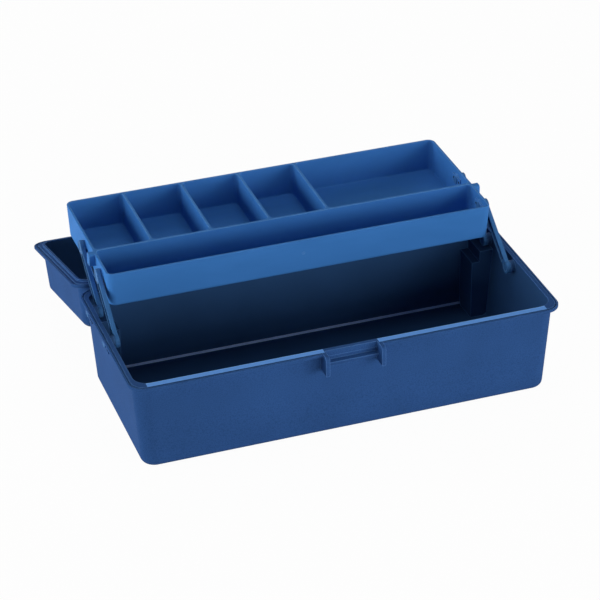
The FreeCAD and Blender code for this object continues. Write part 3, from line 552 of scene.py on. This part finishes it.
@dataclass(frozen=True)
class ZincPlatedSteel:
    """Drawn steel wire, zinc plated and clear passivated, for the hinge and latch pins.

    Zinc looks pale grey with a soft metallic gloss, and the drawing die leaves fine lines along
    the pin, about 0.2 mm apart.
    """

    name: str = "zinc_plated_steel"
    colour: str = "#B9BCC0"
    dull: str = "#8F9499"
    roughness: float = 0.32
    lines: float = 0.2

    def make(self) -> bpy.types.Material:
        """Make the finish."""
        material, tree, shader = start_material(self.name)
        place = add_node(tree, "TexCoord").outputs["Object"]
        along = add_node(tree, "Mapping", {"Vector": place, "Scale": (0.05, 1.0, 1.0)}).outputs[0]
        scale = 1 / (self.lines * MILLIMETRE)
        drawn = add_node(tree, "TexNoise", {"Vector": along, "Scale": scale}).outputs[0]
        base = blend_colours(tree, drawn, linear(self.colour), linear(self.dull))
        bump = add_node(tree, "Bump", {"Strength": 0.2, "Distance": 0.01 * MILLIMETRE, "Height": drawn})
        tree.links.new(base, shader.inputs["Base Color"])
        tree.links.new(bump.outputs[0], shader.inputs["Normal"])
        shader.inputs["Metallic"].default_value = 1.0
        shader.inputs["Roughness"].default_value = self.roughness
        return material


TRAY_PLASTIC = SatinPolypropylene("satin_polypropylene_tray", "#3B78BE", "#4180C9")
ARM_PLASTIC = SatinPolypropylene("satin_polypropylene_arm", "#38699F", "#4073AD", roughness=0.5)
FITTING_PLASTIC = SatinPolypropylene("satin_polypropylene_fitting", "#2F548B", "#335B94", roughness=0.5)


def joint_named(name: str) -> dict:
    """Give a joint of the frame by its name."""
    return next(joint for joint in frame["joints"] if joint["name"] == name)


def dress(node: str, material: bpy.types.Material) -> None:
    """Give a frame node its finish and report it."""
    item = frame["nodes"][node]
    for place in item.material_slots:
        place.material = material
    log.info("dressed %s in %s", node, material.name)


def finish_piece(item: bpy.types.Object, name: str, body: str,
                 material: bpy.types.Material) -> bpy.types.Object:
    """Name a new piece, give it its finish and let it ride on a body.

    Args:
        item: The piece, with its place in its mesh.
        name: The piece's name.
        body: The body that carries it.
        material: Its finish.

    Returns:
        The piece.
    """
    item.name = name
    item.data.name = name
    item.data.materials.clear()
    item.data.materials.append(material)
    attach(item, body)
    log.info("added %s on %s", name, body)
    return item


def deselect() -> None:
    """Deselect everything, so that an operator acts only on what is added next."""
    bpy.ops.object.select_all(action="DESELECT")


@dataclass
class BaseShell:
    """The deep tub with its stepped rim, catch ears and rear posts."""

    finish: SparkErodedPolypropylene
    inside: Inside = Inside(half_length=194.55, half_width=81.95, lean_length=6.1, lean_width=1.2,
                            floor=1.2, mouth=85.9)
    land: LandHighlight = LandHighlight()
    fillet: FilletHighlight = FilletHighlight()
    mark_spacing: float = 15.0
    mark_drop: float = 3.0
    mark_depth: float = 1.8
    pin_head: float = 1.2

    def build(self) -> None:
        """Dress the tub, with painted shade in the gaps beside its pivot pins."""
        pivots = [joint_named(f"{place}_left_arm_hinge")["pos_m"] for place in PLACES]
        half = self.mark_spacing / 2
        places = tuple(pivot[1] / MILLIMETRE + side * half for pivot in pivots for side in (-1, 1))
        face = -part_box("base_pin_front_left")[0].x / MILLIMETRE - self.pin_head
        level = pivots[0][2] / MILLIMETRE - self.mark_drop
        pit_shade = PitShade(face - self.mark_depth - PitShade.floor_margin, face - PitShade.face_margin,
                         level, places)
        dress("base_shell", self.finish.make(self.inside, self.land, self.fillet, pit_shade))


@dataclass
class LidShell:
    """The shallow lid on its back behind the tub."""

    finish: SparkErodedPolypropylene
    half_length: float = 191.8
    half_width: float = 79.8
    lean: float = 1.8
    ceiling: float = 131.8
    mouth: float = 87.4

    def build(self) -> None:
        """Dress the lid, whose grain and polish follow its shut place."""
        hinge = joint_named("lid_hinge")
        pivot = tuple(length / MILLIMETRE for length in hinge["pos_m"])
        inside = Inside(self.half_length, self.half_width, self.lean, self.lean, self.ceiling,
                        self.mouth, turn=hinge["range_deg"][1], hinge=pivot)
        dress("lid_shell", self.finish.make(inside))


@dataclass
class Tray:
    """The cantilever tray with its sprue mark on the front face."""

    finish: SatinPolypropylene
    gate_radius: float = 1.5
    gate_proud: float = 0.25
    gate_dimple: float = 0.7
    gate_drop: float = 13.7
    mark_spacing: float = 12.4
    mark_depth: float = 1.8
    pivot_drop: float = 10.5
    pin_head: float = 1.2
    front_lean: float = 1.5
    height: float = 33.5

    def build(self) -> None:
        """Dress the tray and add its gate mark."""
        half = self.mark_spacing / 2
        boxes = [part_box(f"tray_pin_{place}_left") for place in PLACES]
        middles = [(low.y + high.y) / 2 / MILLIMETRE for low, high in boxes]
        places = tuple(middle + side * half for middle in middles for side in (-1, 1))
        face = -boxes[0][1].x / MILLIMETRE + self.pin_head
        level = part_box("tray")[1].z / MILLIMETRE - self.pivot_drop
        # The gaps beside the tray's pins get painted shade.
        pit_shade = PitShade(face + PitShade.face_margin, face + self.mark_depth + PitShade.floor_margin,
                         level, places)
        material = self.finish.make(pit_shade=pit_shade)
        dress("tray", material)
        self.add_gate_mark(material)

    def add_gate_mark(self, material: bpy.types.Material) -> None:
        """Model the trimmed sprue: a low round boss with a dimple, square to the front face."""
        low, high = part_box("tray")
        slope = self.front_lean / self.height
        face = low.y + slope * self.gate_drop * MILLIMETRE
        place = Vector((0.0, face, high.z - self.gate_drop * MILLIMETRE))
        deselect()
        turned = (math.radians(90) - math.atan(slope), 0.0, 0.0)
        bpy.ops.mesh.primitive_cylinder_add(vertices=32, radius=self.gate_radius * MILLIMETRE,
                                            depth=2 * self.gate_proud * MILLIMETRE, location=place,
                                            rotation=turned)
        item = bpy.context.object
        bpy.ops.object.transform_apply(location=True, rotation=True, scale=True)
        bpy.ops.object.mode_set(mode="EDIT")
        bpy.ops.mesh.select_mode(type="FACE")
        bpy.ops.mesh.select_all(action="DESELECT")
        bpy.ops.object.mode_set(mode="OBJECT")
        outer = min(item.data.polygons, key=lambda face: face.center.y)
        outer.select = True
        bpy.ops.object.mode_set(mode="EDIT")
        bpy.ops.mesh.inset(thickness=self.gate_dimple * MILLIMETRE)
        bpy.ops.mesh.extrude_region_move(
            TRANSFORM_OT_translate={"value": (0.0, self.gate_proud * MILLIMETRE, 0.0)})
        bpy.ops.object.mode_set(mode="OBJECT")
        bevel = item.modifiers.new("soft_edge", "BEVEL")
        bevel.width = 0.3 * self.gate_proud * MILLIMETRE
        bevel.segments = 2
        bpy.ops.object.modifier_apply(modifier="soft_edge")
        bpy.ops.object.shade_smooth_by_angle(angle=math.radians(40))
        finish_piece(item, "tray_gate_mark", "tray", material)


@dataclass
class SwingArms:
    """The four channelled arms and the eight headed pins that carry the tray."""

    finish: SatinPolypropylene
    pins: tuple[str, ...] = ("base_pin", "tray_pin")

    def build(self) -> None:
        """Dress the arms and pins."""
        # The arms' channel floors get painted shade.
        material = self.finish.make(channel=ChannelShade())
        for side in SIDES:
            for place in PLACES:
                dress(f"arm_{place}_{side}", material)
                for pin in self.pins:
                    dress(f"{pin}_{place}_{side}", material)


@dataclass
class Fittings:
    """The latch and the folding handle on the lid."""

    finish: SatinPolypropylene

    def build(self) -> None:
        """Dress the latch and handle."""
        material = self.finish.make()
        for node in ("latch", "handle"):
            dress(node, material)


@dataclass
class SteelPins:
    """The two hinge pins and the latch pin."""

    finish: ZincPlatedSteel
    nodes: tuple[str, ...] = ("hinge_pin_left", "hinge_pin_right", "latch_pin")

    def build(self) -> None:
        """Dress the pins."""
        material = self.finish.make()
        for node in self.nodes:
            dress(node, material)


@dataclass
class PhotoCamera:
    """The camera at the photograph's place, in metres and degrees.

    Its roll is the photograph's own small tilt.
    """

    place: tuple[float, float, float] = (-0.6388, -1.8041, 1.2270)
    yaw: float = -19.0
    pitch: float = 30.79
    roll: float = -0.7
    focal_length: float = 148.98
    sensor: float = 36.0

    def build(self) -> None:
        """Add the camera and make it the scene's own."""
        yaw, pitch, roll = (math.radians(angle) for angle in (self.yaw, self.pitch, self.roll))
        back = Vector((math.sin(yaw) * math.cos(pitch), -math.cos(yaw) * math.cos(pitch), math.sin(pitch)))
        right = Vector((math.cos(yaw), math.sin(yaw), 0.0))
        rise = back.cross(right)
        tilted_right = right * math.cos(roll) + rise * math.sin(roll)
        tilted_rise = rise * math.cos(roll) - right * math.sin(roll)
        bpy.ops.object.camera_add()
        item = bpy.context.object
        item.name = "photo_camera"
        axes = Matrix((tilted_right, tilted_rise, back)).transposed()
        item.matrix_world = Matrix.Translation(Vector(self.place)) @ axes.to_4x4()
        item.data.lens = self.focal_length
        item.data.sensor_width = self.sensor
        bpy.context.scene.camera = item


@dataclass
class Lamp:
    """One soft lamp.

    Attributes:
        name: The lamp's name.
        place: Where it stands, in metres.
        size: Side of its square face, in metres.
        power: Its power in watts.
        mirrored: Whether glossy surfaces mirror it. A lamp near the floor would glare off them.
    """

    name: str
    place: tuple[float, float, float]
    size: float
    power: float
    mirrored: bool = True


@dataclass
class Studio:
    """A white floor, a white surround and soft lamps."""

    floor_size: float = 60.0
    floor_colour: str = "#EEEEEE"
    floor_clear: float = 0.97
    ambient: float = 0.07
    aim: tuple[float, float, float] = (0.0, 0.05, 0.06)
    lamps: tuple[Lamp, ...] = field(default_factory=lambda: (
        Lamp("key_left", (-2.4, 0.4, 0.4), 1.2, 50.0, mirrored=False),
        Lamp("key_front", (0.3, -2.5, 0.45), 1.2, 20.0),
        Lamp("fill_right", (1.6, -1.9, 0.6), 1.2, 26.0),
        Lamp("fill_top", (0.0, -0.2, 2.4), 1.2, 9.0),
        Lamp("rim_back", (0.3, 1.9, 1.6), 1.2, 9.0)))

    def build(self) -> None:
        """Build the whole studio."""
        self.add_floor()
        self.set_world()
        for lamp in self.lamps:
            self.add_lamp(lamp)
        bpy.context.scene.view_settings.view_transform = "Standard"

    def clear_share(self, tree: bpy.types.NodeTree) -> bpy.types.NodeSocket:
        """Give 1 for rays that show the surround itself: seen, mirrored or through glass."""
        rays = add_node(tree, "LightPath").outputs
        mirrored = calculate(tree, "MAXIMUM", rays["Is Glossy Ray"], rays["Is Transmission Ray"])
        return calculate(tree, "MAXIMUM", rays["Is Camera Ray"], mirrored)

    def add_floor(self) -> None:
        """Lay the floor, which shows nearly white and keeps a pale shadow."""
        deselect()
        bpy.ops.mesh.primitive_plane_add(size=self.floor_size)
        item = bpy.context.object
        item.name = "studio_floor"
        material, tree, shader = start_material("white_paper")
        shader.inputs["Base Color"].default_value = linear(self.floor_colour)
        shader.inputs["Roughness"].default_value = 0.9
        white = add_node(tree, "Emission", {"Color": WHITE, "Strength": 1.0})
        share = calculate(tree, "MULTIPLY", self.clear_share(tree), self.floor_clear)
        mixed = add_node(tree, "MixShader", {0: share, 1: shader.outputs[0], 2: white.outputs[0]})
        output = next(node for node in tree.nodes if node.type == "OUTPUT_MATERIAL")
        tree.links.new(mixed.outputs[0], output.inputs["Surface"])
        item.data.materials.append(material)

    def set_world(self) -> None:
        """Set a dim even surround that shows as white."""
        world = bpy.data.worlds.new("studio_surround")
        world.use_nodes = True
        tree = world.node_tree
        tree.nodes.clear()
        dim = add_node(tree, "Background", {"Color": WHITE, "Strength": self.ambient})
        white = add_node(tree, "Background", {"Color": WHITE, "Strength": 1.0})
        share = self.clear_share(tree)
        mixed = add_node(tree, "MixShader", {0: share, 1: dim.outputs[0], 2: white.outputs[0]})
        add_node(tree, "OutputWorld", {"Surface": mixed.outputs[0]})
        bpy.context.scene.world = world

    def add_lamp(self, lamp: Lamp) -> None:
        """Add one square lamp that faces the box."""
        bpy.ops.object.light_add(type="AREA", location=lamp.place)
        item = bpy.context.object
        item.name = lamp.name
        item.data.size = lamp.size
        item.data.energy = lamp.power
        item.visible_glossy = lamp.mirrored
        towards = Vector(self.aim) - Vector(lamp.place)
        item.rotation_euler = towards.to_track_quat("-Z", "Y").to_euler()


def main() -> None:
    """Build the sub-assemblies, the studio and the camera in order."""
    logging.basicConfig(level=logging.INFO, format="%(message)s")
    shell_finish = SparkErodedPolypropylene()
    for assembly in (PhotoCamera(), BaseShell(shell_finish), LidShell(shell_finish), Tray(TRAY_PLASTIC),
                     SwingArms(ARM_PLASTIC), Fittings(FITTING_PLASTIC), SteelPins(ZincPlatedSteel()),
                     Studio()):
        assembly.build()
        log.info("built %s", type(assembly).__name__)


if __name__ == "__main__":
    main()
